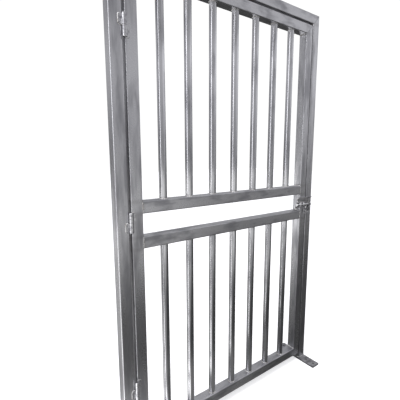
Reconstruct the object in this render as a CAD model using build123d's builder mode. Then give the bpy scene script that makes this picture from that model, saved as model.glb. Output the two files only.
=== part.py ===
from build123d import *
import os

# A pedestrian garden gate in its own steel frame, in millimetres.
# +X runs from the hinge side to the latch side, +Y from the front to the back, +Z up.
# The origin is on the floor, midway between the posts and at their mid-depth.

# ---------------------------------------------------------------- driving sizes

GATE_WIDTH = 1220.0             # over the outer faces of the two posts
GATE_HEIGHT = 2060.0            # floor to the top of the header

TUBE_SIZE = 50.0                # square box section of every post, stile and rail
TUBE_WALL = 3.0
TUBE_CORNER = 4.5               # outer corner radius of the box section

HINGE_GAP = 10.0                # hinge post to hinge stile
LATCH_GAP = 6.0                 # latch stile to latch post
HEADER_GAP = 10.0               # top rail to header
LEAF_CLEARANCE = 40.0           # floor to the underside of the leaf

SLOT_HEIGHT = 94.0              # open slot between the two mid rails
VENT_HOLE_DIAMETER = 8.0        # vent in the latch stile, just above the lower mid rail
VENT_HOLE_RISE = 12.0

BAR_COUNT = 7                   # round bars in each panel
BAR_DIAMETER = 33.7
BAR_WALL = 2.6
END_BAR_OFFSET = 106.0          # inner face of a stile to the centre of the nearest bar

FOOT_LENGTH = 270.0             # flat bar under each post, front to back
FOOT_WIDTH = 60.0
FOOT_THICKNESS = 8.0
FOOT_CORNER = 4.0
FOOT_HOLE_DIAMETER = 12.0
FOOT_HOLE_SPACING = 50.0        # between the two holes at each end of a foot
FOOT_HOLE_END_DISTANCE = 20.0   # end of the foot to the centre of the nearest hole

HINGE_LENGTH = 80.0
LOW_HINGE_HEIGHT = 280.0        # bottom of the leaf to the middle of the bottom hinge
TOP_HINGE_DROP = 244.0          # top of the leaf to the middle of the top hinge
HINGE_PIN_DIAMETER = 10.0
HINGE_PIN_CLEARANCE = 0.05      # radial, in the half that turns
HINGE_PIN_SETBACK = 3.0         # free end of the pin to the end of the barrel
BARREL_WALL = 4.0
BARREL_STANDOFF = 0.5           # back of the barrel to the front face of the frame
BARREL_CHAMFER = 0.8
WASHER_THICKNESS = 1.5
WASHER_CLEARANCE = 0.2          # radial, around the pin
WING_REACH = 21.0               # axis of the barrel to the outer edge of the wing
WING_THICKNESS = 3.5
WING_INSET = 1.0                # end of the barrel to the end of the wing
WING_CORNER = 7.0

PLATE_HEIGHT = 60.0             # latch plate and keeper plate
PLATE_THICKNESS = 4.0
PLATE_LIP = 12.0                # depth of the lip that is folded forward along the top
PLATE_BEND = 1.5                # inner radius of the fold
PLATE_CORNER = 3.0
PLATE_OVERHANG = 30.0           # latch plate past the inner face of the latch stile
STOP_OVERLAP = 8.0              # latch plate over the front of the latch post
KEEPER_GAP = 2.0                # latch plate to keeper plate
KEEPER_SETBACK = 8.0            # keeper plate to the outer face of the latch post

BOLT_DIAMETER = 12.0
BOLT_CHAMFER = 2.0
BOLT_STANDOFF = 1.0             # latch plate to bolt bar
BOLT_DROP = 12.0                # bolt axis below the middle of the latch plate
BOLT_TRAVEL = 22.0
BOLT_TAIL = 4.0                 # bolt bar past the inner guide when the bolt is shot
BOLT_TIP_SETBACK = 4.0          # edge of the latch plate to the tip of the drawn bolt
STAPLE_ROD = 6.0                # round rod of the guides and the keeper staple
STAPLE_CLEARANCE = 0.5          # radial, around the bolt bar
INNER_GUIDE_INSET = 12.0        # inner edge of the latch plate to the inner guide
GUIDE_SPACING = 28.0
KEEPER_STAPLE_INSET = 8.0       # inner edge of the keeper plate to the keeper staple

TAB_THICKNESS = 6.0             # bolt handle and padlock lug
TAB_DEPTH = 18.0
TAB_DROP = 56.0                 # bolt axis to the lower end of both tabs
TAB_CORNER = 7.0
TAB_CLEARANCE = 1.0             # handle to latch plate, and lug to bolt bar
LUG_SETBACK = 2.0               # padlock lug to the outer edge of the latch plate
LUG_CLEARANCE = 0.5             # handle to padlock lug when the bolt is shot
PADLOCK_HOLE_DIAMETER = 10.0
PADLOCK_HOLE_RISE = 11.0        # lower end of a tab to the centre of its hole

# ---------------------------------------------------------------- worked-out places

TUBE_BORE = TUBE_SIZE - 2 * TUBE_WALL
FRONT = -TUBE_SIZE / 2                      # front face of the frame and the leaf

POST_X = (GATE_WIDTH - TUBE_SIZE) / 2       # centre of the latch post; the hinge post mirrors it
HEADER_Z = GATE_HEIGHT - TUBE_SIZE / 2

LEAF_LEFT = -GATE_WIDTH / 2 + TUBE_SIZE + HINGE_GAP
LEAF_RIGHT = GATE_WIDTH / 2 - TUBE_SIZE - LATCH_GAP
LEAF_BOTTOM = LEAF_CLEARANCE
LEAF_TOP = GATE_HEIGHT - TUBE_SIZE - HEADER_GAP
STILE_LEFT = LEAF_LEFT + TUBE_SIZE          # inner face of the hinge stile
STILE_RIGHT = LEAF_RIGHT - TUBE_SIZE        # inner face of the latch stile

# Both barred panels have the same height.
PANEL_HEIGHT = (LEAF_TOP - LEAF_BOTTOM - 4 * TUBE_SIZE - SLOT_HEIGHT) / 2
LOWER_PANEL_BOTTOM = LEAF_BOTTOM + TUBE_SIZE
LOWER_MID_Z = LOWER_PANEL_BOTTOM + PANEL_HEIGHT + TUBE_SIZE / 2
SLOT_BOTTOM = LOWER_MID_Z + TUBE_SIZE / 2
UPPER_MID_Z = SLOT_BOTTOM + SLOT_HEIGHT + TUBE_SIZE / 2
UPPER_PANEL_BOTTOM = UPPER_MID_Z + TUBE_SIZE / 2

FIRST_BAR_X = STILE_LEFT + END_BAR_OFFSET
BAR_PITCH = (STILE_RIGHT - STILE_LEFT - 2 * END_BAR_OFFSET) / (BAR_COUNT - 1)

FOOT_X = (GATE_WIDTH - FOOT_WIDTH) / 2      # a foot is flush with the outer face of its post
FOOT_OUTER_HOLE_Y = FOOT_LENGTH / 2 - FOOT_HOLE_END_DISTANCE
FOOT_INNER_HOLE_Y = FOOT_OUTER_HOLE_Y - FOOT_HOLE_SPACING

PIN_RADIUS = HINGE_PIN_DIAMETER / 2
BARREL_RADIUS = PIN_RADIUS + BARREL_WALL
HINGE_X = LEAF_LEFT - HINGE_GAP / 2
HINGE_Y = FRONT - BARREL_STANDOFF - BARREL_RADIUS
HINGE_HALF = (HINGE_LENGTH - WASHER_THICKNESS) / 2
LOW_HINGE_Z = LEAF_BOTTOM + LOW_HINGE_HEIGHT
TOP_HINGE_Z = LEAF_TOP - TOP_HINGE_DROP
MIDDLE_HINGE_Z = (LOW_HINGE_Z + TOP_HINGE_Z) / 2

PLATE_Z = SLOT_BOTTOM + SLOT_HEIGHT / 2     # middle of the latch plate
PLATE_FRONT = FRONT - PLATE_THICKNESS
PLATE_LEFT = STILE_RIGHT - PLATE_OVERHANG
PLATE_RIGHT = GATE_WIDTH / 2 - TUBE_SIZE + STOP_OVERLAP
KEEPER_LEFT = PLATE_RIGHT + KEEPER_GAP
KEEPER_RIGHT = GATE_WIDTH / 2 - KEEPER_SETBACK

BOLT_RADIUS = BOLT_DIAMETER / 2
BOLT_Y = PLATE_FRONT - BOLT_STANDOFF - BOLT_RADIUS
BOLT_Z = PLATE_Z - BOLT_DROP
INNER_GUIDE_X = PLATE_LEFT + INNER_GUIDE_INSET
OUTER_GUIDE_X = INNER_GUIDE_X + GUIDE_SPACING
KEEPER_STAPLE_X = KEEPER_LEFT + KEEPER_STAPLE_INSET
BOLT_TIP = PLATE_RIGHT - BOLT_TIP_SETBACK   # the bolt is modelled drawn back
BOLT_BACK = INNER_GUIDE_X - BOLT_TAIL - BOLT_TRAVEL

LUG_LEFT = PLATE_RIGHT - LUG_SETBACK - TAB_THICKNESS
HANDLE_LEFT = LUG_LEFT - LUG_CLEARANCE - TAB_THICKNESS - BOLT_TRAVEL
TAB_BOTTOM = BOLT_Z - TAB_DROP
TAB_BACK = PLATE_FRONT - TAB_CLEARANCE
TAB_FRONT = TAB_BACK - TAB_DEPTH
TAB_MIDDLE = (TAB_FRONT + TAB_BACK) / 2
PADLOCK_HOLE_Z = TAB_BOTTOM + PADLOCK_HOLE_RISE

os.makedirs("parts", exist_ok=True)

# ---------------------------------------------------------------- shared shapes


def save(piece, name):
    """Label a finished piece and write it under its own name."""
    piece.part.label = name
    export_step(piece.part, f"parts/{name}.step")


def box_section():
    """Draw the hollow box section in the open sketch."""
    RectangleRounded(TUBE_SIZE, TUBE_SIZE, TUBE_CORNER)
    RectangleRounded(TUBE_BORE, TUBE_BORE, TUBE_CORNER - TUBE_WALL, mode=Mode.SUBTRACT)


def upright(x, bottom, top):
    """Run the box section up from bottom to top, centred on x."""
    with BuildSketch(Plane.XY.offset(bottom)) as section:
        with Locations((x, 0)):
            box_section()
    extrude(section.sketch, amount=top - bottom)


def crosspiece(left, right, z):
    """Run the box section across from left to right, centred on z."""
    with BuildSketch(Plane.YZ.offset(left)) as section:
        with Locations((0, z)):
            box_section()
    extrude(section.sketch, amount=right - left)


def mitre(x, z, inward_x, inward_z):
    """Plane of the 45 degree cut at an outer corner, with the crosspiece on its upper side."""
    return Plane(origin=(x, 0, z), z_dir=(inward_x, 0, -inward_z))


def folded_plate(left, right):
    """Plate against the front of the frame, with its top edge folded forward into a lip."""
    with BuildSketch(Plane.YZ.offset(left)) as profile:
        with BuildLine():
            Polyline(
                (FRONT, PLATE_Z - PLATE_HEIGHT / 2),
                (FRONT, PLATE_Z + PLATE_HEIGHT / 2),
                (FRONT - PLATE_LIP, PLATE_Z + PLATE_HEIGHT / 2),
                (FRONT - PLATE_LIP, PLATE_Z + PLATE_HEIGHT / 2 - PLATE_THICKNESS),
                (PLATE_FRONT, PLATE_Z + PLATE_HEIGHT / 2 - PLATE_THICKNESS),
                (PLATE_FRONT, PLATE_Z - PLATE_HEIGHT / 2),
                close=True,
            )
        make_face()
    extrude(profile.sketch, amount=right - left)
    along = edges().filter_by(Axis.X)
    outer_bend = along.sort_by_distance((left, FRONT, PLATE_Z + PLATE_HEIGHT / 2))[0]
    inner_bend = along.sort_by_distance((left, PLATE_FRONT, PLATE_Z + PLATE_HEIGHT / 2 - PLATE_THICKNESS))[0]
    fillet(outer_bend, radius=PLATE_BEND + PLATE_THICKNESS)
    fillet(inner_bend, radius=PLATE_BEND)
    fillet(edges().filter_by(Axis.Y).group_by(Axis.Z)[0], radius=PLATE_CORNER)
    fillet(edges().filter_by(Axis.Z).group_by(Axis.Y)[0], radius=PLATE_CORNER)


def staple(x):
    """Round rod bent over the bolt bar, with both legs standing on the plate."""
    reach = BOLT_RADIUS + STAPLE_CLEARANCE + STAPLE_ROD / 2
    with BuildLine(Plane.YZ.offset(x)) as path:
        Line((PLATE_FRONT, BOLT_Z + reach), (BOLT_Y, BOLT_Z + reach))
        ThreePointArc((BOLT_Y, BOLT_Z + reach), (BOLT_Y - reach, BOLT_Z), (BOLT_Y, BOLT_Z - reach))
        Line((BOLT_Y, BOLT_Z - reach), (PLATE_FRONT, BOLT_Z - reach))
    with BuildSketch(Plane(origin=path.line @ 0, z_dir=path.line % 0)) as section:
        Circle(STAPLE_ROD / 2)
    sweep(section.sketch, path=path.line)


# ---------------------------------------------------------------- fixed frame

top_left_mitre = mitre(-GATE_WIDTH / 2, GATE_HEIGHT, 1, -1)
top_right_mitre = mitre(GATE_WIDTH / 2, GATE_HEIGHT, -1, -1)

with BuildPart() as hinge_post:
    upright(-POST_X, FOOT_THICKNESS, GATE_HEIGHT)
    split(bisect_by=top_left_mitre, keep=Keep.BOTTOM)
save(hinge_post, "hinge_post")

with BuildPart() as latch_post:
    upright(POST_X, FOOT_THICKNESS, GATE_HEIGHT)
    split(bisect_by=top_right_mitre, keep=Keep.BOTTOM)
save(latch_post, "latch_post")

with BuildPart() as header:
    crosspiece(-GATE_WIDTH / 2, GATE_WIDTH / 2, HEADER_Z)
    split(bisect_by=top_left_mitre, keep=Keep.TOP)
    split(bisect_by=top_right_mitre, keep=Keep.TOP)
save(header, "header")

for name, foot_x in (("hinge_side_foot", -FOOT_X), ("latch_side_foot", FOOT_X)):
    with BuildPart() as foot:
        with BuildSketch():
            with Locations((foot_x, 0)):
                RectangleRounded(FOOT_WIDTH, FOOT_LENGTH, FOOT_CORNER)
            for hole_y in (FOOT_INNER_HOLE_Y, FOOT_OUTER_HOLE_Y):
                with Locations((foot_x, -hole_y), (foot_x, hole_y)):
                    Circle(FOOT_HOLE_DIAMETER / 2, mode=Mode.SUBTRACT)
        extrude(amount=FOOT_THICKNESS)
    save(foot, name)

# ---------------------------------------------------------------- leaf frame

leaf_mitres = [
    mitre(LEAF_LEFT, LEAF_TOP, 1, -1),
    mitre(LEAF_RIGHT, LEAF_TOP, -1, -1),
    mitre(LEAF_LEFT, LEAF_BOTTOM, 1, 1),
    mitre(LEAF_RIGHT, LEAF_BOTTOM, -1, 1),
]
top_left_cut, top_right_cut, bottom_left_cut, bottom_right_cut = leaf_mitres

with BuildPart() as hinge_stile:
    upright(LEAF_LEFT + TUBE_SIZE / 2, LEAF_BOTTOM, LEAF_TOP)
    split(bisect_by=top_left_cut, keep=Keep.BOTTOM)
    split(bisect_by=bottom_left_cut, keep=Keep.BOTTOM)
save(hinge_stile, "hinge_stile")

with BuildPart() as latch_stile:
    upright(LEAF_RIGHT - TUBE_SIZE / 2, LEAF_BOTTOM, LEAF_TOP)
    split(bisect_by=top_right_cut, keep=Keep.BOTTOM)
    split(bisect_by=bottom_right_cut, keep=Keep.BOTTOM)
    with BuildSketch(Plane.YZ.offset(STILE_RIGHT)):
        with Locations((0, SLOT_BOTTOM + VENT_HOLE_RISE)):
            Circle(VENT_HOLE_DIAMETER / 2)
    extrude(amount=TUBE_WALL, mode=Mode.SUBTRACT)
save(latch_stile, "latch_stile")

with BuildPart() as top_rail:
    crosspiece(LEAF_LEFT, LEAF_RIGHT, LEAF_TOP - TUBE_SIZE / 2)
    split(bisect_by=top_left_cut, keep=Keep.TOP)
    split(bisect_by=top_right_cut, keep=Keep.TOP)
save(top_rail, "top_rail")

with BuildPart() as bottom_rail:
    crosspiece(LEAF_LEFT, LEAF_RIGHT, LEAF_BOTTOM + TUBE_SIZE / 2)
    split(bisect_by=bottom_left_cut, keep=Keep.TOP)
    split(bisect_by=bottom_right_cut, keep=Keep.TOP)
save(bottom_rail, "bottom_rail")

with BuildPart() as upper_mid_rail:
    crosspiece(STILE_LEFT, STILE_RIGHT, UPPER_MID_Z)
save(upper_mid_rail, "upper_mid_rail")

with BuildPart() as lower_mid_rail:
    crosspiece(STILE_LEFT, STILE_RIGHT, LOWER_MID_Z)
save(lower_mid_rail, "lower_mid_rail")

for panel, bar_bottom in (("upper", UPPER_PANEL_BOTTOM), ("lower", LOWER_PANEL_BOTTOM)):
    for number in range(BAR_COUNT):
        with BuildPart() as bar:
            with BuildSketch(Plane.XY.offset(bar_bottom)):
                with Locations((FIRST_BAR_X + number * BAR_PITCH, 0)):
                    Circle(BAR_DIAMETER / 2)
                    Circle(BAR_DIAMETER / 2 - BAR_WALL, mode=Mode.SUBTRACT)
            extrude(amount=PANEL_HEIGHT)
        save(bar, f"{panel}_bar_{number + 1}")

# ---------------------------------------------------------------- hinges
# The leaf halves sit on top at the bottom and middle hinges and underneath at the top hinge,
# so that the leaf can't be lifted off.


def hinge_half(bottom, bore_radius, outward):
    """Barrel from bottom up, with a wing to the left (outward -1) or to the right (outward 1)."""
    with BuildSketch(Plane.XY.offset(bottom)) as ring:
        with Locations((HINGE_X, HINGE_Y)):
            Circle(BARREL_RADIUS)
            Circle(bore_radius, mode=Mode.SUBTRACT)
    extrude(ring.sketch, amount=HINGE_HALF)
    outer_edges = edges().filter_by(GeomType.CIRCLE).group_by(SortBy.RADIUS)[-1]
    chamfer(outer_edges, length=BARREL_CHAMFER)
    with BuildSketch(Plane.XZ.offset(-FRONT)) as wing:
        with Locations((HINGE_X, bottom + HINGE_HALF / 2)):
            Rectangle(
                WING_REACH,
                HINGE_HALF - 2 * WING_INSET,
                align=(Align.MIN if outward > 0 else Align.MAX, Align.CENTER),
            )
        outer_corners = vertices().sort_by(Axis.X)[-2:] if outward > 0 else vertices().sort_by(Axis.X)[:2]
        fillet(outer_corners, radius=WING_CORNER)
    extrude(wing.sketch, amount=WING_THICKNESS)


for name, middle_z, leaf_on_top in (
    ("bottom", LOW_HINGE_Z, True),
    ("middle", MIDDLE_HINGE_Z, True),
    ("top", TOP_HINGE_Z, False),
):
    hinge_bottom = middle_z - HINGE_LENGTH / 2
    upper_bottom = hinge_bottom + HINGE_HALF + WASHER_THICKNESS
    post_half_bottom = hinge_bottom if leaf_on_top else upper_bottom
    leaf_half_bottom = upper_bottom if leaf_on_top else hinge_bottom
    pin_bottom = hinge_bottom if leaf_on_top else hinge_bottom + HINGE_PIN_SETBACK

    with BuildPart() as post_half:
        hinge_half(post_half_bottom, PIN_RADIUS, -1)
    save(post_half, f"{name}_hinge_post_half")

    with BuildPart() as leaf_half:
        hinge_half(leaf_half_bottom, PIN_RADIUS + HINGE_PIN_CLEARANCE, 1)
    save(leaf_half, f"{name}_hinge_leaf_half")

    with BuildPart() as pin:
        with BuildSketch(Plane.XY.offset(pin_bottom)):
            with Locations((HINGE_X, HINGE_Y)):
                Circle(PIN_RADIUS)
        extrude(amount=HINGE_LENGTH - HINGE_PIN_SETBACK)
    save(pin, f"{name}_hinge_pin")

    with BuildPart() as washer:
        with BuildSketch(Plane.XY.offset(hinge_bottom + HINGE_HALF)):
            with Locations((HINGE_X, HINGE_Y)):
                Circle(BARREL_RADIUS)
                Circle(PIN_RADIUS + WASHER_CLEARANCE, mode=Mode.SUBTRACT)
        extrude(amount=WASHER_THICKNESS)
    save(washer, f"{name}_hinge_washer")

# ---------------------------------------------------------------- latch

with BuildPart() as latch_plate:
    folded_plate(PLATE_LEFT, PLATE_RIGHT)
save(latch_plate, "latch_plate")

with BuildPart() as keeper_plate:
    folded_plate(KEEPER_LEFT, KEEPER_RIGHT)
save(keeper_plate, "keeper_plate")

for name, staple_x in (
    ("inner_bolt_guide", INNER_GUIDE_X),
    ("outer_bolt_guide", OUTER_GUIDE_X),
    ("keeper_staple", KEEPER_STAPLE_X),
):
    with BuildPart() as rod:
        staple(staple_x)
    save(rod, name)

with BuildPart() as bolt_bar:
    with BuildSketch(Plane.YZ.offset(BOLT_BACK)):
        with Locations((BOLT_Y, BOLT_Z)):
            Circle(BOLT_RADIUS)
    extrude(amount=BOLT_TIP - BOLT_BACK)
    chamfer(edges().filter_by(GeomType.CIRCLE), length=BOLT_CHAMFER)
save(bolt_bar, "bolt_bar")

with BuildPart() as bolt_handle:
    with BuildSketch(Plane.YZ.offset(HANDLE_LEFT)):
        with Locations((TAB_MIDDLE, TAB_BOTTOM)):
            Rectangle(TAB_DEPTH, TAB_DROP, align=(Align.CENTER, Align.MIN))
        fillet(vertices().group_by(Axis.Z)[0], radius=TAB_CORNER)
        with Locations((BOLT_Y, BOLT_Z)):
            Circle(BOLT_RADIUS, mode=Mode.SUBTRACT)
        with Locations((TAB_MIDDLE, PADLOCK_HOLE_Z)):
            Circle(PADLOCK_HOLE_DIAMETER / 2, mode=Mode.SUBTRACT)
    extrude(amount=TAB_THICKNESS)
save(bolt_handle, "bolt_handle")

with BuildPart() as padlock_lug:
    lug_height = TAB_DROP - BOLT_RADIUS - TAB_CLEARANCE
    with BuildSketch(Plane.YZ.offset(LUG_LEFT)):
        with Locations((PLATE_FRONT, TAB_BOTTOM)):
            Rectangle(TAB_DEPTH + TAB_CLEARANCE, lug_height, align=(Align.MAX, Align.MIN))
        fillet(vertices().group_by(Axis.Z)[0], radius=TAB_CORNER)
        with Locations((TAB_MIDDLE, PADLOCK_HOLE_Z)):
            Circle(PADLOCK_HOLE_DIAMETER / 2, mode=Mode.SUBTRACT)
    extrude(amount=TAB_THICKNESS)
save(padlock_lug, "padlock_lug")
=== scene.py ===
"""Steel pedestrian gate in its own frame: weld beads, seams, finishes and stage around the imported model."""

import math
import random

import bpy
from bpy.props import FloatProperty, FloatVectorProperty, PointerProperty, StringProperty
from mathutils import Matrix, Vector


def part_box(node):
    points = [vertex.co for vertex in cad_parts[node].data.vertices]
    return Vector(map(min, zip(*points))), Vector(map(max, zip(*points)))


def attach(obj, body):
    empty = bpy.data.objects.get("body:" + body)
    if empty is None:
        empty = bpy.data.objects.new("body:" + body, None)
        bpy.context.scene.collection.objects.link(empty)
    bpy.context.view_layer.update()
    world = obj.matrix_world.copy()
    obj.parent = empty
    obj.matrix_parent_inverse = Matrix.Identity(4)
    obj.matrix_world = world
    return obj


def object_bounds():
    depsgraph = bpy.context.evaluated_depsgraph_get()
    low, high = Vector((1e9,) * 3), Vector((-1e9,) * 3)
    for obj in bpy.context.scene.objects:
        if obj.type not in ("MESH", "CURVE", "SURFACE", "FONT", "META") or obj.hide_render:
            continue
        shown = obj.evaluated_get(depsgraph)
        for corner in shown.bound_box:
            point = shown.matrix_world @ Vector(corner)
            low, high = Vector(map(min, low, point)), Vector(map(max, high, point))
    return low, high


bl_info = {
    "name": "Garden Gate Dressing",
    "version": (1, 0, 0),
    "blender": (4, 5, 0),
    "location": "View3D > Sidebar > Gate",
    "description": "Welds, seams, steel finishes and a plain stage for a framed steel garden gate",
    "category": "Object",
}

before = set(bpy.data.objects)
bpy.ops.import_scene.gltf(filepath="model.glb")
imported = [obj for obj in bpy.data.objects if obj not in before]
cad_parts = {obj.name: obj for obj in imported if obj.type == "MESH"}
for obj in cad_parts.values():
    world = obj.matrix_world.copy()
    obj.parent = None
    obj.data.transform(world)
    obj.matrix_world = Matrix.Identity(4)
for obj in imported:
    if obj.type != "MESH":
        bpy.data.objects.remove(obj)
CAD_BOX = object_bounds()

MM = 0.001
X_AXIS, Y_AXIS, Z_AXIS = Vector((1, 0, 0)), Vector((0, 1, 0)), Vector((0, 0, 1))
FORWARD = -Y_AXIS                       # out of the front of the gate

HINGE_NAMES = ("bottom", "middle", "top")
PANELS = ("upper", "lower")
BAR_NUMBERS = range(1, 8)
BARS = [f"{panel}_bar_{number}" for panel in PANELS for number in BAR_NUMBERS]
POSTS = ("hinge_post", "latch_post")
STILES = ("hinge_stile", "latch_stile")
MID_RAILS = ("upper_mid_rail", "lower_mid_rail")
LEAF_RAILS = ("top_rail", "bottom_rail", *MID_RAILS)

TUBE_CORNER = 4.5 * MM                  # outer corner radius of the box section
WING_CORNER = 7.0 * MM                  # rounded corners of a hinge wing

RIPPLE_LENGTH = 1.9                     # in pitches, so that each ripple laps the one before
CREST_START = 0.2                       # share of the bead's height above which a ripple leans
CREST_LEAN = 0.35                       # how far the crest leans along the run, in pitches
END_TAPER = 0.72                        # size of the first and last ripple of an open run
HAND_TURN = 0.12                        # unevenness of a hand weld: radians,
HAND_SIZE = 0.08                        # share of a ripple's size,
HAND_WANDER = 0.25 * MM                 # and distance off the line

SPECK_COLOUR = "3A393B"                 # dark speck of dirt or rust
SCALE_COLOUR = "6F6C6B"                 # heat scale beside a weld
STRAW_COLOUR = "9C9389"                 # straw tint of a weld that cooled in air

# Settings of the shader nodes that are used again and again.
SMOOTH = {"interpolation_type": "SMOOTHSTEP"}
BLEND, TINT = {"data_type": "RGBA"}, {"data_type": "RGBA", "blend_type": "MULTIPLY"}
ADD, SUBTRACT, MULTIPLY = {"operation": "ADD"}, {"operation": "SUBTRACT"}, {"operation": "MULTIPLY"}
MINIMUM, ABSOLUTE, DOT = {"operation": "MINIMUM"}, {"operation": "ABSOLUTE"}, {"operation": "DOT_PRODUCT"}


# ---------------------------------------------------------------- settings


class GateWeldSizes(bpy.types.PropertyGroup):
    """Sizes of the weld beads and seams."""

    bead_width: FloatProperty(
        name="Bead width", description="Width of a full weld bead",
        default=6.5 * MM, min=2 * MM, max=12 * MM, unit="LENGTH", subtype="DISTANCE",
    )
    bead_height: FloatProperty(
        name="Bead height", description="Thickness of a full bead, half of it sunk in the joint",
        default=4.4 * MM, min=1 * MM, max=8 * MM, unit="LENGTH", subtype="DISTANCE",
    )
    ripple_pitch: FloatProperty(
        name="Ripple pitch", description="Distance from one ripple of a bead to the next",
        default=3.0 * MM, min=1 * MM, max=8 * MM, unit="LENGTH", subtype="DISTANCE",
    )
    seam_width: FloatProperty(
        name="Seam width", description="Width of the line that shows along a mitre",
        default=1.4 * MM, min=0.4 * MM, max=4 * MM, unit="LENGTH", subtype="DISTANCE",
    )
    seam_proud: FloatProperty(
        name="Seam height", description="How far a mitre seam stands out of the tube",
        default=0.12 * MM, min=0.05 * MM, max=1 * MM, unit="LENGTH", subtype="DISTANCE",
    )


class GateFinishColours(bpy.types.PropertyGroup):
    """Colours of the finishes, as sRGB hex values."""

    zinc: StringProperty(
        name="Tube", description="Clean skin of the rolled tube", default="C3C3C6")
    zinc_stain: StringProperty(
        name="Tube stain", description="Oil and handling stains on the tube", default="9A9A9E")
    bar: StringProperty(
        name="Bars", description="Clean skin of the round bars", default="C9C9CC")
    bar_stain: StringProperty(
        name="Bar stain", description="Stains on the round bars", default="9B9B9F")
    weld: StringProperty(
        name="Weld", description="Crest of a weld bead", default="D2D1D0")
    weld_soot: StringProperty(
        name="Weld soot", description="Soot and scale between the ripples", default="6B6866")
    seam: StringProperty(
        name="Mitre seam", description="Dark line along a mitre", default="56565A")
    plate: StringProperty(
        name="Latch plates", description="Pressed plate of the latch", default="C2C1C3")
    plate_stain: StringProperty(
        name="Plate stain", description="Stains on the latch plates", default="77767A")
    rod: StringProperty(
        name="Latch rods", description="Bright drawn rod", default="D0D0D2")
    rod_stain: StringProperty(
        name="Rod stain", description="Stains on the guides and the staple", default="8E8D90")
    bolt_stain: StringProperty(
        name="Bolt stain", description="Dull patches on the bolt, its handle and the lug", default="7C7B7F")
    hinge: StringProperty(
        name="Hinges", description="Turned hinge barrels and their wings", default="C6C6C8")
    hinge_stain: StringProperty(
        name="Hinge stain", description="Stains on the hinges", default="96959A")
    pin: StringProperty(
        name="Hinge pins", description="Greased steel pin", default="8E8C8A")
    grease: StringProperty(
        name="Grease", description="Old grease on the pins", default="4E4A46")
    washer: StringProperty(
        name="Washers", description="Plated thrust washers", default="BDBDBF")
    washer_stain: StringProperty(
        name="Washer stain", description="Grease and wear on the washers", default="77757A")
    foot: StringProperty(
        name="Feet", description="Hot-rolled flat bar of the feet", default="ADADAF")
    foot_stain: StringProperty(
        name="Foot stain", description="Mill scale on the feet", default="807F82")


class GateStageSettings(bpy.types.PropertyGroup):
    """Camera, floor and light."""

    camera_place: FloatVectorProperty(
        name="Camera place", description="Where the camera stands",
        default=(-1.0413, -1.1533, 1.3013), subtype="TRANSLATION", unit="LENGTH",
    )
    camera_turn: FloatProperty(
        name="Camera turn", description="Heading, from straight ahead towards the latch side",
        default=math.radians(36.031), subtype="ANGLE", unit="ROTATION",
    )
    camera_tilt: FloatProperty(
        name="Camera tilt", description="How far the camera looks up",
        default=math.radians(-8.293), subtype="ANGLE", unit="ROTATION",
    )
    camera_roll: FloatProperty(
        name="Camera roll", description="Lean of the camera about its own axis",
        default=math.radians(-0.218), subtype="ANGLE", unit="ROTATION",
    )
    camera_lens: FloatProperty(
        name="Lens", description="Focal length on a 36 mm sensor, in millimetres",
        default=28.31, min=10, max=200,
    )
    floor_size: FloatProperty(
        name="Floor size", description="Side of the floor",
        default=40.0, min=4.0, unit="LENGTH", subtype="DISTANCE",
    )
    floor_colour: StringProperty(
        name="Floor colour", description="Pale floor", default="EDEDEE")
    softbox_power: FloatProperty(
        name="Softbox power", description="Power of the overhead softbox",
        default=90.0, min=0.0, unit="POWER",
    )
    softbox_place: FloatVectorProperty(
        name="Softbox place", description="Where the overhead softbox hangs",
        default=(-1.6, -0.6, 4.2), subtype="TRANSLATION", unit="LENGTH",
    )
    softbox_size: FloatProperty(
        name="Softbox size", description="Side of the overhead softbox",
        default=3.0, min=0.1, unit="LENGTH", subtype="DISTANCE",
    )


# ---------------------------------------------------------------- small helpers


def linear(hex_colour, alpha=1.0):
    """Turn an sRGB hex colour into the linear values that a shader socket takes."""
    channels = [int(hex_colour[i:i + 2], 16) / 255 for i in (0, 2, 4)]
    return [c / 12.92 if c <= 0.04045 else ((c + 0.055) / 1.055) ** 2.4 for c in channels] + [alpha]


def add_node(tree, kind, settings=None, inputs=(), output=0):
    """Add a node, set its settings, fill its inputs by name or in order, and return one of its outputs."""
    node = tree.nodes.new("ShaderNode" + kind)
    for name, value in (settings or {}).items():
        setattr(node, name, value)
    for name, value in inputs.items() if isinstance(inputs, dict) else enumerate(inputs):
        if isinstance(value, bpy.types.NodeSocket):
            tree.links.new(value, node.inputs[name])
        else:
            node.inputs[name].default_value = value
    return node.outputs[output] if node.outputs else None


def deselect():
    """Leave edit mode and deselect everything."""
    if bpy.context.object and bpy.context.object.mode != "OBJECT":
        bpy.ops.object.mode_set(mode="OBJECT")
    bpy.ops.object.select_all(action="DESELECT")


def select_only(pieces):
    """Select these pieces and make the first one active."""
    deselect()
    for piece in pieces:
        piece.select_set(True)
    bpy.context.view_layer.objects.active = pieces[0]


def finish_piece(piece, name, body, material):
    """Name a piece, give it its finish, and let it ride on its body."""
    piece.name = name
    piece.data.name = name
    piece.data.materials.clear()
    piece.data.materials.append(material)
    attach(piece, body)


def corners(node):
    """Lowest and highest corner of a CAD node."""
    low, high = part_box(node)
    return Vector(low), Vector(high)


# ---------------------------------------------------------------- weld beads


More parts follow.
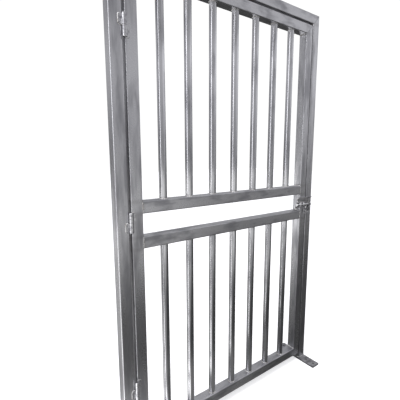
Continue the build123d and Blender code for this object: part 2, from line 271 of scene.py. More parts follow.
def model_ripple(sizes):
    """Model one ripple of a bead along X: a low lens with its crest pushed towards the end of the run."""
    deselect()
    bpy.ops.mesh.primitive_uv_sphere_add(segments=10, ring_count=6, radius=0.5, location=(0, 0, 0))
    ripple = bpy.context.object
    bpy.ops.object.mode_set(mode="EDIT")
    bpy.ops.mesh.select_all(action="SELECT")
    bpy.ops.transform.resize(value=(sizes.ripple_pitch * RIPPLE_LENGTH, sizes.bead_width, sizes.bead_height))
    bpy.ops.mesh.select_all(action="DESELECT")
    bpy.ops.object.mode_set(mode="OBJECT")
    for vertex in ripple.data.vertices:
        vertex.select = vertex.co.z > sizes.bead_height * CREST_START
    bpy.ops.object.mode_set(mode="EDIT")
    bpy.ops.transform.translate(value=(sizes.ripple_pitch * CREST_LEAN, 0, 0))
    bpy.ops.object.mode_set(mode="OBJECT")
    bpy.ops.object.shade_smooth()
    return ripple


def ripple_place(point, along, outward, size, draw):
    """Matrix that puts one ripple at a point of a bead, a little uneven as a hand weld is."""
    x = along.normalized()
    z = (outward - outward.dot(x) * x).normalized()
    y = z.cross(x)
    twist = Matrix.Rotation(draw.uniform(-HAND_TURN, HAND_TURN), 4, "Z")
    turned = Matrix((x, y, z)).transposed().to_4x4() @ twist
    scale = [size * draw.uniform(1 - HAND_SIZE, 1 + HAND_SIZE) for _ in range(3)]
    wander = y * draw.uniform(-HAND_WANDER, HAND_WANDER) * size
    return Matrix.Translation(point + wander) @ turned @ Matrix.Diagonal((*scale, 1))


def run_of_ripples(points, outwards, pitch, size, draw, closed=False):
    """Places of the ripples along a line of points, spaced evenly, smaller at the two ends of an open run.

    Size is the bead's share of a full one, and draw the random numbers that make it uneven.
    """
    points = list(points) + ([points[0]] if closed else [])
    outwards = list(outwards) + ([outwards[0]] if closed else [])
    lengths = [(b - a).length for a, b in zip(points, points[1:])]
    total = sum(lengths)
    count = max(2, round(total / (pitch * size)))
    places = []
    for i in range(count if closed else count + 1):
        distance, leg = total * i / count, 0
        while leg < len(lengths) - 1 and distance > lengths[leg]:
            distance -= lengths[leg]
            leg += 1
        share = min(1.0, distance / lengths[leg])
        point = points[leg].lerp(points[leg + 1], share)
        outward = outwards[leg].lerp(outwards[leg + 1], share)
        end_taper = 1.0 if closed or 0 < i < count else END_TAPER
        along = points[leg + 1] - points[leg]
        places.append(ripple_place(point, along, outward, size * end_taper, draw))
    return places


def straight_run(start, end, outward, pitch, size, draw):
    """Ripples from one point to another."""
    return run_of_ripples([start, end], [outward, outward], pitch, size, draw)


def ring_run(centre, axis, radius, pitch, size, draw, lean=1.0, steps=32):
    """Ripples round a bar or rod; lean is how far the bead faces along the axis."""
    side = axis.orthogonal().normalized()
    other = axis.cross(side)
    angles = [2 * math.pi * i / steps for i in range(steps)]
    spokes = [side * math.cos(angle) + other * math.sin(angle) for angle in angles]
    points = [centre + spoke * radius for spoke in spokes]
    return run_of_ripples(points, [spoke + axis * lean for spoke in spokes], pitch, size, draw, closed=True)


def rod_feet(node, foot_y, pitch, draw):
    """Ripples round the two feet of a bent rod."""
    low, high = corners(node)
    rod = (high.x - low.x) / 2
    places = []
    for z in (low.z + rod, high.z - rod):
        centre = Vector(((low.x + high.x) / 2, foot_y, z))
        places += ring_run(centre, FORWARD, rod + 0.4 * MM, pitch, size=0.42, draw=draw)
    return places


def lay_welds(name, places, body):
    """Copy the ripple to every place and join the copies into one piece."""
    sizes = bpy.context.scene.gate_welds
    ripple = model_ripple(sizes)
    copies = []
    for place in places:
        mesh = ripple.data.copy()
        mesh.transform(place)
        copy = bpy.data.objects.new(name, mesh)
        bpy.context.scene.collection.objects.link(copy)
        copies.append(copy)
    bpy.data.objects.remove(ripple)
    select_only(copies)
    bpy.ops.object.join()
    finish_piece(bpy.context.object, name, body, weld_metal())


def lay_seams(name, lines, body):
    """Lay a thin rounded strip along each mitre line, given as start, end and the direction it faces."""
    sizes = bpy.context.scene.gate_welds
    strips = []
    for start, end, outward in lines:
        deselect()
        bpy.ops.mesh.primitive_cube_add(size=1, location=(0, 0, 0))
        strip = bpy.context.object
        bpy.ops.object.mode_set(mode="EDIT")
        bpy.ops.mesh.select_all(action="SELECT")
        bpy.ops.transform.resize(value=((end - start).length, sizes.seam_width, sizes.seam_proud * 2))
        bpy.ops.mesh.bevel(offset=sizes.seam_proud * 0.8, segments=2, affect="EDGES")
        bpy.ops.object.mode_set(mode="OBJECT")
        x = (end - start).normalized()
        turned = Matrix((x, outward.cross(x), outward)).transposed().to_4x4()
        strip.data.transform(Matrix.Translation((start + end) / 2) @ turned)
        strips.append(strip)
    select_only(strips)
    bpy.ops.object.join()
    finish_piece(bpy.context.object, name, body, seam_metal())


class GATE_OT_bar_welds(bpy.types.Operator):
    """Run a weld bead round both ends of every bar"""

    bl_idname = "gate.bar_welds"
    bl_label = "Bar Welds"

    def execute(self, context):
        sizes = context.scene.gate_welds
        draw = random.Random(11)
        lift = 0.6 * MM                 # middle of the bead, off the bar and off the rail
        for panel in PANELS:
            places = []
            for number in BAR_NUMBERS:
                low, high = corners(f"{panel}_bar_{number}")
                middle = (low + high) / 2
                radius = (high.x - low.x) / 2 + lift
                for end_z, axis in ((low.z, Z_AXIS), (high.z, -Z_AXIS)):
                    centre = Vector((middle.x, middle.y, end_z)) + axis * lift
                    places += ring_run(centre, axis, radius, sizes.ripple_pitch, size=0.85, draw=draw)
            lay_welds(f"{panel}_bar_welds", places, "leaf")
        return {"FINISHED"}


class GATE_OT_leaf_welds(bpy.types.Operator):
    """Weld the corners of the leaf and the ends of its two mid rails"""

    bl_idname = "gate.leaf_welds"
    bl_label = "Leaf Frame Welds"

    def execute(self, context):
        pitch = context.scene.gate_welds.ripple_pitch
        draw = random.Random(23)
        left, right = corners("hinge_stile"), corners("latch_stile")
        front, back = left[0].y, left[1].y
        sunk = 0.8 * MM                 # the beads at the front and back are low, as after grinding
        short = 3 * MM                  # they stop short of the rail's rounded edges
        places, corner_places = [], []
        for rail in MID_RAILS:
            low, high = corners(rail)
            for x, inward in ((low.x, X_AXIS), (high.x, -X_AXIS)):
                for y, outward in ((front + sunk, FORWARD), (back - sunk, Y_AXIS)):
                    start = Vector((x, y, low.z + short))
                    end = Vector((x, y, high.z - short))
                    places += straight_run(start, end, outward, pitch, size=0.9, draw=draw)
                for z, outward in ((low.z, -Z_AXIS), (high.z, Z_AXIS)):
                    start = Vector((x, front + TUBE_CORNER, z)) + (inward + outward) * 0.4 * MM
                    end = Vector((start.x, back - TUBE_CORNER, start.z))
                    places += straight_run(start, end, inward + outward, pitch, size=0.85, draw=draw)
        lay_welds("mid_rail_welds", places, "leaf")
        for stile_face, inward in ((left[1].x, X_AXIS), (right[0].x, -X_AXIS)):
            for rail, outward in (("bottom_rail", Z_AXIS), ("top_rail", -Z_AXIS)):
                low, high = corners(rail)
                z = high.z if outward.z > 0 else low.z
                start = Vector((stile_face, front + TUBE_CORNER, z)) + (inward + outward) * 0.5 * MM
                end = Vector((start.x, back - TUBE_CORNER, start.z))
                corner_places += straight_run(start, end, inward + outward, pitch, size=0.9, draw=draw)
        lay_welds("leaf_corner_welds", corner_places, "leaf")
        return {"FINISHED"}


def mitre_lines(outer_x, outer_z, inner_x, inner_z, front, back):
    """Front and back lines of one mitred corner, from just inside its outer corner to its inner one."""
    step_x = math.copysign(TUBE_CORNER, inner_x - outer_x)
    step_z = math.copysign(TUBE_CORNER, inner_z - outer_z)
    lines = []
    for y, outward in ((front, FORWARD), (back, Y_AXIS)):
        start = Vector((outer_x + step_x, y, outer_z + step_z))
        end = Vector((inner_x - step_x, y, inner_z - step_z))
        lines.append((start, end, outward))
    return lines


class GATE_OT_mitre_seams(bpy.types.Operator):
    """Draw the fine line that shows along every mitre"""

    bl_idname = "gate.mitre_seams"
    bl_label = "Mitre Seams"

    def execute(self, context):
        left, right = corners("hinge_stile"), corners("latch_stile")
        front, back = left[0].y, left[1].y
        lines = []
        for outer_x, inner_x in ((left[0].x, left[1].x), (right[1].x, right[0].x)):
            for rail, at_top in (("bottom_rail", False), ("top_rail", True)):
                low, high = corners(rail)
                outer_z, inner_z = (high.z, low.z) if at_top else (low.z, high.z)
                lines += mitre_lines(outer_x, outer_z, inner_x, inner_z, front, back)
        lay_seams("leaf_mitre_seams", lines, "leaf")
        low, high = corners("header")
        posts = (corners("hinge_post"), corners("latch_post"))
        lines = []
        for outer_x, inner_x in ((posts[0][0].x, posts[0][1].x), (posts[1][1].x, posts[1][0].x)):
            lines += mitre_lines(outer_x, high.z, inner_x, low.z, low.y, high.y)
        lay_seams("frame_mitre_seams", lines, "frame")
        return {"FINISHED"}


class GATE_OT_frame_welds(bpy.types.Operator):
    """Weld the header to the posts and the posts to their feet"""

    bl_idname = "gate.frame_welds"
    bl_label = "Frame Welds"

    def execute(self, context):
        pitch = context.scene.gate_welds.ripple_pitch
        draw = random.Random(31)
        header_low = corners("header")[0]
        lift = 0.5 * MM                 # middle of the bead, off the two faces that it joins
        places, foot_places = [], []
        for post, foot, inward in (
            ("hinge_post", "hinge_side_foot", X_AXIS),
            ("latch_post", "latch_side_foot", -X_AXIS),
        ):
            low, high = corners(post)
            inner_x = high.x if inward.x > 0 else low.x
            outer_x = low.x if inward.x > 0 else high.x
            start = Vector((inner_x, low.y + TUBE_CORNER, header_low.z)) + (inward - Z_AXIS) * lift
            end = Vector((start.x, high.y - TUBE_CORNER, start.z))
            places += straight_run(start, end, inward - Z_AXIS, pitch, size=0.9, draw=draw)
            foot_top = corners(foot)[1].z + lift
            for y, outward in ((low.y - lift, FORWARD), (high.y + lift, Y_AXIS)):
                start = Vector((outer_x, y, foot_top)) + inward * TUBE_CORNER
                end = Vector((inner_x, y, foot_top)) - inward * TUBE_CORNER
                foot_places += straight_run(start, end, outward + Z_AXIS, pitch, size=1.0, draw=draw)
            start = Vector((inner_x, low.y + TUBE_CORNER, foot_top)) + inward * lift
            end = Vector((start.x, high.y - TUBE_CORNER, foot_top))
            foot_places += straight_run(start, end, inward + Z_AXIS, pitch, size=1.0, draw=draw)
        lay_welds("frame_corner_welds", places, "frame")
        lay_welds("post_foot_welds", foot_places, "frame")
        return {"FINISHED"}


def wing_outline(low, high, face_y, outer_x, barrel_x):
    """Points round the free edge of a hinge wing, from the barrel, round both corners, back to the barrel."""
    side = math.copysign(1, outer_x - barrel_x)
    corner_x = outer_x - side * WING_CORNER
    start_x = barrel_x + side * 8 * MM  # just clear of the barrel
    bottom, top = low.z + 1 * MM, high.z - 1 * MM
    corner_steps = 6
    points = [Vector((start_x, face_y, bottom))]
    outs = [-Z_AXIS]
    for centre_z, first, last in ((bottom + WING_CORNER, -90, 0), (top - WING_CORNER, 0, 90)):
        for step in range(corner_steps + 1):
            angle = math.radians(first + (last - first) * step / corner_steps)
            spoke = Vector((side * math.cos(angle), 0, math.sin(angle)))
            points.append(Vector((corner_x, face_y, centre_z)) + spoke * WING_CORNER)
            outs.append(spoke)
    points.append(Vector((start_x, face_y, top)))
    outs.append(Z_AXIS)
    return points, [out + FORWARD for out in outs]


class GATE_OT_hinge_welds(bpy.types.Operator):
    """Weld each hinge wing to its post or stile"""

    bl_idname = "gate.hinge_welds"
    bl_label = "Hinge Welds"

    def execute(self, context):
        pitch = context.scene.gate_welds.ripple_pitch
        draw = random.Random(47)
        face_y = corners("hinge_post")[0].y - 0.2 * MM      # the bead's middle is just off the face
        for half, body in (("post_half", "frame"), ("leaf_half", "leaf")):
            places = []
            for hinge in HINGE_NAMES:
                low, high = corners(f"{hinge}_hinge_{half}")
                pin_low, pin_high = corners(f"{hinge}_hinge_pin")
                barrel_x = (pin_low.x + pin_high.x) / 2
                outer_x = low.x if body == "frame" else high.x
                points, outwards = wing_outline(low, high, face_y, outer_x, barrel_x)
                places += run_of_ripples(points, outwards, pitch, size=0.72, draw=draw)
            lay_welds(f"hinge_{half}_welds", places, body)
        return {"FINISHED"}


class GATE_OT_latch_welds(bpy.types.Operator):
    """Weld the latch plate, keeper, guides, lug and handle, and run a bead round the vent"""

    bl_idname = "gate.latch_welds"
    bl_label = "Latch Welds"

    def execute(self, context):
        pitch = context.scene.gate_welds.ripple_pitch
        draw = random.Random(59)
        plate_low, plate_high = corners("latch_plate")
        stile_low, stile_high = corners("latch_stile")
        face_y = stile_low.y
        guide_front = corners("inner_bolt_guide")[1].y      # where the rods meet the plates
        places = []

        # Under the plate, and down its edge on the stile's inner face.
        start = Vector((stile_low.x + 5 * MM, face_y - 0.4 * MM, plate_low.z))
        end = Vector((stile_high.x - 5 * MM, start.y, start.z))
        places += straight_run(start, end, FORWARD - Z_AXIS, pitch, size=0.75, draw=draw)
        start = Vector((stile_low.x - 0.3 * MM, face_y + 0.6 * MM, plate_low.z + 3 * MM))
        end = Vector((start.x, start.y, plate_high.z - 7 * MM))
        places += straight_run(start, end, -X_AXIS + Y_AXIS, pitch, size=0.85, draw=draw)

        for guide in ("inner_bolt_guide", "outer_bolt_guide"):
            places += rod_feet(guide, guide_front, pitch, draw)

        # Down the outer edge of the lug, which stands on the plate.
        lug_high = corners("padlock_lug")[1]
        start = Vector((lug_high.x + 0.1 * MM, guide_front, plate_low.z + 2 * MM))
        end = Vector((start.x, start.y, lug_high.z - 1 * MM))
        places += straight_run(start, end, X_AXIS + FORWARD, pitch, size=0.4, draw=draw)

        # Round the vent in the stile, just above the lower mid rail.
        vent = Vector((stile_low.x, 0, corners("lower_mid_rail")[1].z + 12 * MM))
        places += ring_run(vent, -X_AXIS, 5.4 * MM, pitch, size=0.5, draw=draw)
        lay_welds("latch_welds", places, "leaf")

        # The keeper, down its outer edge and underneath, and its staple.
        places = []
        keeper_low, keeper_high = corners("keeper_plate")
        start = Vector((keeper_high.x, face_y - 0.3 * MM, keeper_low.z + 3 * MM))
        end = Vector((start.x, start.y, keeper_high.z - 8 * MM))
        places += straight_run(start, end, X_AXIS + FORWARD, pitch, size=0.6, draw=draw)
        start = Vector((keeper_low.x + 3 * MM, face_y - 0.4 * MM, keeper_low.z))
        end = Vector((keeper_high.x - 3 * MM, start.y, start.z))
        places += straight_run(start, end, FORWARD - Z_AXIS, pitch, size=0.75, draw=draw)
        places += rod_feet("keeper_staple", guide_front, pitch, draw)
        lay_welds("keeper_welds", places, "frame")

        # Round the bolt where the handle meets it.
        bar_low, bar_high = corners("bolt_bar")
        middle = (bar_low + bar_high) / 2
        centre = Vector((corners("bolt_handle")[0].x, middle.y, middle.z))
        radius = (bar_high.z - bar_low.z) / 2 + 0.3 * MM
        places = ring_run(centre, -X_AXIS, radius, pitch, size=0.45, draw=draw)
        lay_welds("handle_weld", places, "bolt")
        return {"FINISHED"}


# ---------------------------------------------------------------- finishes


def new_material(name):
    """Make a material whose tree holds nothing but the Object coordinates."""
    material = bpy.data.materials.new(name)
    material.use_nodes = True
    tree = material.node_tree
    tree.nodes.clear()
    return material, tree, add_node(tree, "TexCoord", output="Object")


def steel(
    name, clean, stain, roughness, blotch, grain, stretch, seed,
    specks=0.35, joints=(), joint_axis="Z", scuffed_above=None,
):
    """Worn bare metal: cloudy stains, drawn lines along the bar, dark specks, and scale beside the welds.

    Blotch and grain are the sizes of the stains and of the drawn lines. Stretch says along which axis
    both run. Specks is how much of the colour the dark specks take, joints are the places of the welds
    along joint_axis, and the metal above scuffed_above is rubbed dull.
    """
    material, tree, place = new_material(name)

    # Drawn lines are some tenths of a millimetre apart on real tube. They are drawn coarser, at the size
    # of the grain, and 60 times as long as they are wide, so that they show.
    drawn_out = [1 if s == 1 else 60 for s in stretch]
    clouds, drawn, fine, patches = [
        add_node(tree, "TexNoise", None, {
            "Vector": add_node(tree, "Mapping", None, {
                "Vector": place,
                "Location": (seed + shift, (seed + shift) * 0.7, (seed + shift) * 1.3),
                "Scale": [1 / s for s in along],
            }),
            "Scale": 1 / size, "Detail": detail, "Roughness": 0.55,
        })
        for size, detail, along, shift in (
            (blotch, 5.0, stretch, 0),
            (grain, 3.0, drawn_out, 3),
            (2.2 * MM, 2.0, (1, 1, 1), 7),
            (60 * MM, 2.0, (1, 1, 1), 5),
        )
    ]
    stains = add_node(tree, "MapRange", SMOOTH, (clouds, 0.42, 0.66))
    lines = add_node(tree, "MapRange", SMOOTH, (drawn, 0.3, 0.7))
    colour = add_node(tree, "Mix", BLEND, {0: stains, 6: linear(clean), 7: linear(stain)}, 2)
    shade = add_node(tree, "MapRange", None, (lines, 0.0, 1.0, 0.95, 1.03))
    colour = add_node(tree, "Mix", TINT, {0: 1.0, 6: colour, 7: shade}, 2)

    # Specks about 3 mm across and 26 mm apart, only where the broad patches let them through.
    cells = add_node(tree, "TexVoronoi", None, {"Vector": place, "Scale": 1 / (26 * MM)}, "Distance")
    spots = add_node(tree, "MapRange", SMOOTH, (cells, 0.09, 0.03))
    spots = add_node(tree, "Math", MULTIPLY, (spots, add_node(tree, "MapRange", SMOOTH, (patches, 0.5, 0.6))))
    spots = add_node(tree, "Math", MULTIPLY, (spots, specks))
    colour = add_node(tree, "Mix", BLEND, {0: spots, 6: colour, 7: linear(SPECK_COLOUR)}, 2)

    # Heat scale with a ragged edge, 8 to 20 mm from the nearest joint.
    if joints:
        along_bar = add_node(tree, "SeparateXYZ", None, (place,), joint_axis)
        nearest = None
        for joint in joints:
            gap = add_node(tree, "Math", ABSOLUTE, (add_node(tree, "Math", SUBTRACT, (along_bar, joint)),))
            nearest = gap if nearest is None else add_node(tree, "Math", MINIMUM, (nearest, gap))
        ragged = add_node(tree, "Math", ADD, (nearest, add_node(tree, "Math", MULTIPLY, (clouds, 12 * MM))))
        scale = add_node(tree, "MapRange", SMOOTH, (ragged, 20 * MM, 8 * MM, 0.0, 0.2))
        colour = add_node(tree, "Mix", BLEND, {0: scale, 6: colour, 7: linear(SCALE_COLOUR)}, 2)

    # Stains are duller than the clean skin, which the fine noise makes up to 0.06 glossier in places.
    stain_dulling, fine_gloss = 0.12, 0.06
    dull = add_node(tree, "Math", ADD, (
        add_node(tree, "Math", MULTIPLY, (stains, stain_dulling)),
        add_node(tree, "Math", MULTIPLY, (fine, fine_gloss)),
    ))
    dull = add_node(tree, "Math", ADD, (dull, roughness - fine_gloss))
    if scuffed_above is not None:
        height = add_node(tree, "SeparateXYZ", None, (place,), "Z")
        edge = scuffed_above - 0.6 * MM
        scuffed = add_node(tree, "MapRange", SMOOTH, (height, edge, scuffed_above, 0.0, 0.4))
        dull = add_node(tree, "Math", ADD, (dull, scuffed))

    # A very faint relief of the lines and the fine grain.
    relief = add_node(tree, "Math", ADD, (
        add_node(tree, "Math", MULTIPLY, (lines, 0.5)),
        add_node(tree, "Math", MULTIPLY, (fine, 0.1)),
    ))
    normal = add_node(tree, "Bump", None, {"Height": relief, "Strength": 0.03, "Distance": 0.1 * MM})
    shader = add_node(tree, "BsdfPrincipled", None, {
        "Base Color": colour, "Metallic": 1.0, "Roughness": dull, "Normal": normal,
    })
    add_node(tree, "OutputMaterial", None, {"Surface": shader})
    return material


def weld_metal():
    """Wire weld, brushed after cooling: bright crests, soot and straw-coloured scale in the valleys."""
    name = "wire_brushed_weld"
    if name in bpy.data.materials:
        return bpy.data.materials[name]
    colours = bpy.context.scene.gate_colours
    material, tree, place = new_material(name)
    moved = add_node(tree, "Mapping", None, {"Vector": place, "Location": (4.0, 2.8, 5.2)})
    soot, straw, dull, pits = [
        add_node(tree, "TexNoise", None, {
            "Vector": vector, "Scale": 1 / size, "Detail": detail, "Roughness": 0.55,
        })
        for vector, size, detail in (
            (place, 7 * MM, 4.0),
            (moved, 30 * MM, 2.0),
            (place, 3 * MM, 3.0),
            (place, 1.2 * MM, 3.0),
        )
    ]
    soot = add_node(tree, "MapRange", SMOOTH, (soot, 0.46, 0.7))
    straw = add_node(tree, "MapRange", SMOOTH, (straw, 0.5, 0.7, 0.0, 0.35))
    dull = add_node(tree, "MapRange", SMOOTH, (dull, 0.3, 0.7, 0.24, 0.46))
    crest, valley = linear(colours.weld), linear(colours.weld_soot)
    colour = add_node(tree, "Mix", BLEND, {0: soot, 6: crest, 7: valley}, 2)
    colour = add_node(tree, "Mix", BLEND, {0: straw, 6: colour, 7: linear(STRAW_COLOUR)}, 2)
    normal = add_node(tree, "Bump", None, {"Height": pits, "Strength": 0.25, "Distance": 0.2 * MM})
    shader = add_node(tree, "BsdfPrincipled", None, {
        "Base Color": colour, "Metallic": 1.0, "Roughness": dull, "Normal": normal,
    })
    add_node(tree, "OutputMaterial", None, {"Surface": shader})
    return material


def seam_metal():
    """Saw-cut edge left along a mitre: oil and dust settle in it, so it reads as a fine dark line."""
    name = "oiled_mitre_seam"
    if name in bpy.data.materials:
        return bpy.data.materials[name]
    colours = bpy.context.scene.gate_colours
    material, tree, place = new_material(name)
    breaks, dull = [
        add_node(tree, "TexNoise", None, {
            "Vector": place, "Scale": 1 / size, "Detail": 3.0, "Roughness": 0.55,
        })
        for size in (9 * MM, 4 * MM)
    ]
    breaks = add_node(tree, "MapRange", SMOOTH, (breaks, 0.4, 0.65))
    dull = add_node(tree, "MapRange", SMOOTH, (dull, 0.3, 0.7, 0.45, 0.65))
    dark, clean = linear(colours.seam), linear(colours.zinc_stain)
    colour = add_node(tree, "Mix", BLEND, {0: breaks, 6: dark, 7: clean}, 2)
    shader = add_node(tree, "BsdfPrincipled", None, {
        "Base Color": colour, "Metallic": 1.0, "Roughness": dull,
    })
    add_node(tree, "OutputMaterial", None, {"Surface": shader})
    return material


def paint_nodes(names, material):
    """Give CAD nodes a finish through their own material slots."""
    for name in names:
        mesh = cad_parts[name].data
        mesh.materials.clear()
        mesh.materials.append(material)


class GATE_OT_finishes(bpy.types.Operator):
    """Give every tube, bar, hinge, plate, rod and foot its finish"""

    bl_idname = "gate.finishes"
    bl_label = "Steel Finishes"

    def execute(self, context):
        colours = context.scene.gate_colours
        upright, across, even = (1, 1, 6), (3, 1, 1), (1, 1, 1)
        rail_z = [corner.z for rail in LEAF_RAILS for corner in corners(rail)]
        stile_x = [corners("hinge_stile")[1].x, corners("latch_stile")[0].x]
        bar_z = [corner.z for bar in ("upper_bar_1", "lower_bar_1") for corner in corners(bar)]
        post_z = [corners("hinge_post")[0].z, corners("header")[0].z]

        # Pre-galvanised rolled tube: a satin grey skin with cloudy handling stains and faint lines
        # along its length.
        paint_nodes(POSTS, steel(
            "rolled_tube_posts", colours.zinc, colours.zinc_stain, roughness=0.30,
            blotch=45 * MM, grain=2.5 * MM, stretch=upright, seed=1.0, joints=post_z))
        paint_nodes(["header"], steel(
            "rolled_tube_header", colours.zinc, colours.zinc_stain, roughness=0.31,
            blotch=45 * MM, grain=2.5 * MM, stretch=across, seed=5.0))
        paint_nodes(STILES, steel(
            "rolled_tube_stiles", colours.zinc, colours.zinc_stain, roughness=0.30,
            blotch=40 * MM, grain=2.5 * MM, stretch=upright, seed=9.0, joints=rail_z))
        paint_nodes(LEAF_RAILS, steel(
            "rolled_tube_rails", colours.zinc, colours.zinc_stain, roughness=0.31,
            blotch=40 * MM, grain=2.5 * MM, stretch=across, seed=13.0, joints=stile_x, joint_axis="X"))

        # Bright drawn round tube: glossier than the box section, so it carries sharp stripes of light.
        paint_nodes(BARS, steel(
            "drawn_round_bar", colours.bar, colours.bar_stain, roughness=0.15,
            blotch=38 * MM, grain=1.6 * MM, stretch=upright, seed=17.0, specks=0.3, joints=bar_z))

        # Hot-rolled flat bar with thin mill scale: duller and more uneven than the tube.
        paint_nodes(["hinge_side_foot", "latch_side_foot"], steel(
            "hot_rolled_foot", colours.foot, colours.foot_stain, roughness=0.46,
            blotch=25 * MM, grain=4 * MM, stretch=even, seed=21.0, specks=0.6))

        # Turned barrels and pressed wings, zinc plated: clean, with rings from the lathe too fine to see.
        halves = [f"{hinge}_hinge_{half}" for hinge in HINGE_NAMES for half in ("post_half", "leaf_half")]
        paint_nodes(halves, steel(
            "turned_zinc_hinge", colours.hinge, colours.hinge_stain, roughness=0.3,
            blotch=12 * MM, grain=1.2 * MM, stretch=even, seed=25.0, specks=0.3))

        # Ground steel pin under old grease: dark and smooth.
        paint_nodes([f"{hinge}_hinge_pin" for hinge in HINGE_NAMES], steel(
            "greased_hinge_pin", colours.pin, colours.grease, roughness=0.26,
            blotch=5 * MM, grain=0.8 * MM, stretch=even, seed=29.0, specks=0.5))

        # Stamped washer, zinc plated: even and pale, dulled by grease.
        paint_nodes([f"{hinge}_hinge_washer" for hinge in HINGE_NAMES], steel(
            "plated_washer", colours.washer, colours.washer_stain, roughness=0.34,
            blotch=5 * MM, grain=0.8 * MM, stretch=even, seed=33.0, specks=0.3))

        # Sheared and folded plate: stained, and rubbed dull on its cut top edge.
        paint_nodes(["latch_plate", "keeper_plate"], steel(
            "folded_latch_plate", colours.plate, colours.plate_stain, roughness=0.34,
            blotch=14 * MM, grain=1.5 * MM, stretch=(6, 1, 1), seed=37.0, specks=0.7,
            scuffed_above=corners("latch_plate")[1].z))

        # Bright drawn rod, bent cold: the glossiest steel of the latch.
        paint_nodes(["inner_bolt_guide", "outer_bolt_guide", "keeper_staple"], steel(
            "bright_drawn_rod", colours.rod, colours.rod_stain, roughness=0.2,
            blotch=9 * MM, grain=0.8 * MM, stretch=even, seed=41.0, specks=0.3))

        # Bright bar polished by use, with dull patches where it isn't touched.
        paint_nodes(["bolt_bar", "bolt_handle", "padlock_lug"], steel(
            "rubbed_bolt_steel", colours.rod, colours.bolt_stain, roughness=0.22,
            blotch=12 * MM, grain=1.0 * MM, stretch=(6, 1, 1), seed=45.0, specks=0.5))
        return {"FINISHED"}


# ---------------------------------------------------------------- stage


def light_world(world):
    """Soft studio surround: walls that rise to a bright ceiling, and a tall softbox beyond the hinge side.

    The camera itself sees a plain white backdrop.
    """
    world.use_nodes = True
    tree = world.node_tree
    tree.nodes.clear()
    direction = add_node(tree, "TexCoord", output="Generated")
    height = add_node(tree, "VectorMath", DOT, (direction, (0, 0, 1)), "Value")

    # The walls are dim at the horizon, dimmest behind the latch side, and full a little higher up.
    behind_latch = add_node(tree, "VectorMath", DOT, (direction, (0.7, 0.7, 0)), "Value")
    horizon = add_node(tree, "MapRange", SMOOTH, (behind_latch, 0.1, 0.8, 0.5, 0.1))
    walls = add_node(tree, "MapRange", SMOOTH, (height, -0.05, 0.3, horizon, 1.0))
    # They step down where they end, and it is brighter again at the ceiling.
    wall_end = add_node(tree, "MapRange", SMOOTH, (height, 0.28, 0.37, 0.0, 0.36))
    ceiling = add_node(tree, "MapRange", SMOOTH, (height, 0.55, 0.75, 0.0, 0.5))
    room = add_node(tree, "Math", ADD, (add_node(tree, "Math", SUBTRACT, (walls, wall_end)), ceiling))
    # The room is a third darker, except towards the latch side.
    latch_side = add_node(tree, "VectorMath", DOT, (direction, (0.95, -0.3, 0)), "Value")
    falloff = add_node(tree, "MapRange", SMOOTH, (latch_side, 0.45, 0.9, 0.66, 1.0))
    room = add_node(tree, "Math", MULTIPLY, (room, falloff))

    # The softbox is an upright strip, as bright from floor to ceiling.
    level = add_node(tree, "VectorMath", MULTIPLY, (direction, (1, 1, 0)))
    level = add_node(tree, "VectorMath", {"operation": "NORMALIZE"}, (level,))
    hinge_side = add_node(tree, "VectorMath", DOT, (level, (-1.0, -0.06, 0.0)), "Value")
    strip = add_node(tree, "MapRange", SMOOTH, (hinge_side, 0.95, 0.992, 0.0, 2.7))

    strength = add_node(tree, "Math", ADD, (room, strip))
    surround = add_node(tree, "Background", None, {"Color": linear("FBFBFF"), "Strength": strength})
    backdrop = add_node(tree, "Background", None, {"Color": linear("FFFFFF"), "Strength": 1.05})
    seen = add_node(tree, "LightPath", output="Is Camera Ray")
    mixed = add_node(tree, "MixShader", None, (seen, surround, backdrop))
    add_node(tree, "OutputWorld", None, {"Surface": mixed})


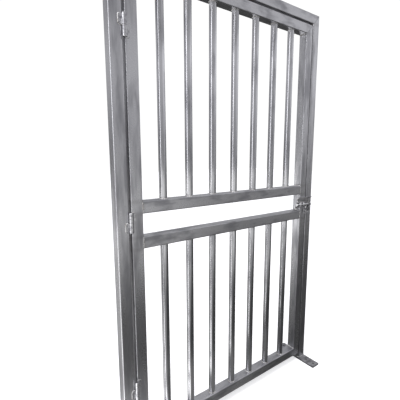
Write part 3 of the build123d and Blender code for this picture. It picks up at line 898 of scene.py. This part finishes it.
def floor_material(colour):
    """Pale paper floor; in the gloss of the steel it shows pools of light, and is dark between them."""
    material, tree, place = new_material("paper_floor")
    paper = add_node(tree, "BsdfDiffuse", None, {"Color": linear(colour)})
    glow = add_node(tree, "Emission", None, {"Color": linear("FFFFFF"), "Strength": 0.50})
    lit = add_node(tree, "AddShader", None, (paper, glow))

    # Distances over the floor, in metres from the middle of the gate.
    left = add_node(tree, "VectorMath", DOT, (place, (-1, 0, 0)), "Value")
    ahead = add_node(tree, "VectorMath", DOT, (place, (0, -1, 0)), "Value")
    right_back = add_node(tree, "VectorMath", DOT, (place, (1, 0.6, 0)), "Value")
    left_back = add_node(tree, "VectorMath", DOT, (place, (-0.75, 0.66, 0)), "Value")
    across_left_back = add_node(tree, "VectorMath", DOT, (place, (0.66, 0.75, 0)), "Value")

    # Beyond the hinge side: brighter from 0.2 to 1 m out.
    hinge_side = add_node(tree, "MapRange", SMOOTH, (left, 0.2, 1.0, 0.07, 0.42))
    # Far in front: up from 1 to 3.2 m, and about a third as bright towards the latch side.
    far_front = add_node(tree, "Math", MULTIPLY, (
        add_node(tree, "MapRange", SMOOTH, (ahead, 1.0, 3.2, 0.0, 0.6)),
        add_node(tree, "MapRange", SMOOTH, (right_back, -0.5, 0.6, 1.0, 0.35)),
    ))
    # Close in front: down again from 0.3 to 0.65 m, and none beyond the latch side.
    near_front = add_node(tree, "Math", MULTIPLY, (
        add_node(tree, "MapRange", SMOOTH, (ahead, 0.65, 0.3, 0.0, 0.16)),
        add_node(tree, "MapRange", SMOOTH, (left, -0.6, 0.2)),
    ))
    # A bright streak out from the hinge post, in line with the gate. It widens steadily, and also
    # with the square of the distance, by up to 1.6 m on each side.
    distance_squared = add_node(tree, "VectorMath", DOT, (place, place), "Value")
    widening = add_node(tree, "Math", MINIMUM, (
        add_node(tree, "Math", MULTIPLY, (distance_squared, 0.035)), 1.6,
    ))
    taper = add_node(tree, "VectorMath", DOT, (place, (0.13, 0, 0)), "Value")
    off_line = add_node(tree, "Math", SUBTRACT, (add_node(tree, "Math", ABSOLUTE, (ahead,)), widening))
    off_line = add_node(tree, "Math", ADD, (off_line, taper))
    streak = add_node(tree, "Math", MULTIPLY, (
        add_node(tree, "MapRange", SMOOTH, (off_line, 0.24, 0.02, 0.0, 2.0)),
        add_node(tree, "MapRange", SMOOTH, (left, 0.33, 0.47)),
    ))
    # A pool to the left at the back, full from 4.6 to 7.5 m away and 0.5 m to each side of its middle line.
    sideways = add_node(tree, "Math", ABSOLUTE, (across_left_back,))
    far_back = add_node(tree, "Math", MULTIPLY, (
        add_node(tree, "MapRange", SMOOTH, (left_back, 3.3, 4.6, 0.0, 3.4)),
        add_node(tree, "MapRange", SMOOTH, (sideways, 1.3, 0.5)),
    ))
    far_back = add_node(tree, "Math", MULTIPLY, (
        far_back, add_node(tree, "MapRange", SMOOTH, (left_back, 9.5, 7.5)),
    ))

    pool = hinge_side
    for part in (far_front, near_front, streak, far_back):
        pool = add_node(tree, "Math", ADD, (pool, part))
    mirrored = add_node(tree, "Emission", None, {"Color": linear("FFFFFF"), "Strength": pool})
    glossy = add_node(tree, "LightPath", output="Is Glossy Ray")
    mixed = add_node(tree, "MixShader", None, (glossy, lit, mirrored))
    add_node(tree, "OutputMaterial", None, {"Surface": mixed})
    return material


class GATE_OT_stage(bpy.types.Operator):
    """Set up the floor, the soft light and the camera"""

    bl_idname = "gate.stage"
    bl_label = "Stage"

    def execute(self, context):
        stage = context.scene.gate_stage
        deselect()
        floor_z = CAD_BOX[0][2] - 0.5 * MM      # just under the feet, so that the faces don't fight
        bpy.ops.mesh.primitive_plane_add(size=stage.floor_size, location=(0, 0, floor_z))
        floor = context.object
        bpy.ops.object.transform_apply(location=True, rotation=True, scale=True)
        floor.name = "paper_floor"
        floor.data.materials.append(floor_material(stage.floor_colour))

        world = bpy.data.worlds.new("studio")
        light_world(world)
        context.scene.world = world
        context.scene.view_settings.view_transform = "Standard"

        bpy.ops.object.light_add(type="AREA", location=stage.softbox_place)
        softbox = context.object
        softbox.name = "overhead_softbox"
        softbox.data.shape = "RECTANGLE"
        softbox.data.size = softbox.data.size_y = stage.softbox_size
        softbox.data.energy = stage.softbox_power
        aim = Vector((0, 0, 1.0)) - softbox.location        # at the middle of the gate
        softbox.rotation_euler = aim.to_track_quat("-Z", "Y").to_euler()
        softbox.visible_camera = False

        bpy.ops.object.camera_add(location=stage.camera_place)
        camera = context.object
        camera.name = "camera"
        camera.data.sensor_width = 36.0
        camera.data.lens = stage.camera_lens
        camera.data.dof.use_dof = False
        heading = Matrix.Rotation(-stage.camera_turn, 4, "Z")
        tilt = Matrix.Rotation(math.radians(90) + stage.camera_tilt, 4, "X")
        roll = Matrix.Rotation(stage.camera_roll, 4, "Z")
        camera.matrix_world = Matrix.Translation(stage.camera_place) @ heading @ tilt @ roll
        context.scene.camera = camera
        return {"FINISHED"}


# ---------------------------------------------------------------- panel and registration


class GATE_PT_panel(bpy.types.Panel):
    """Sidebar panel that lists the steps in their order"""

    bl_idname = "GATE_PT_panel"
    bl_label = "Garden Gate"
    bl_space_type = "VIEW_3D"
    bl_region_type = "UI"
    bl_category = "Gate"

    def draw(self, context):
        scene = context.scene
        for group in (scene.gate_welds, scene.gate_colours, scene.gate_stage):
            box = self.layout.box()
            for name in group.__annotations__:
                box.prop(group, name)
        for step in STEPS:
            self.layout.operator(step.bl_idname)


STEPS = (
    GATE_OT_stage, GATE_OT_finishes, GATE_OT_bar_welds, GATE_OT_leaf_welds,
    GATE_OT_mitre_seams, GATE_OT_frame_welds, GATE_OT_hinge_welds, GATE_OT_latch_welds,
)
CLASSES = (GateWeldSizes, GateFinishColours, GateStageSettings, *STEPS, GATE_PT_panel)


def register():
    for cls in CLASSES:
        bpy.utils.register_class(cls)
    bpy.types.Scene.gate_welds = PointerProperty(type=GateWeldSizes)
    bpy.types.Scene.gate_colours = PointerProperty(type=GateFinishColours)
    bpy.types.Scene.gate_stage = PointerProperty(type=GateStageSettings)


def unregister():
    del bpy.types.Scene.gate_welds
    del bpy.types.Scene.gate_colours
    del bpy.types.Scene.gate_stage
    for cls in reversed(CLASSES):
        bpy.utils.unregister_class(cls)


def main():
    """Build everything in order."""
    register()
    bpy.ops.gate.stage()
    bpy.ops.gate.finishes()
    bpy.ops.gate.bar_welds()
    bpy.ops.gate.leaf_welds()
    bpy.ops.gate.mitre_seams()
    bpy.ops.gate.frame_welds()
    bpy.ops.gate.hinge_welds()
    bpy.ops.gate.latch_welds()
    deselect()


if __name__ == "__main__":
    main()
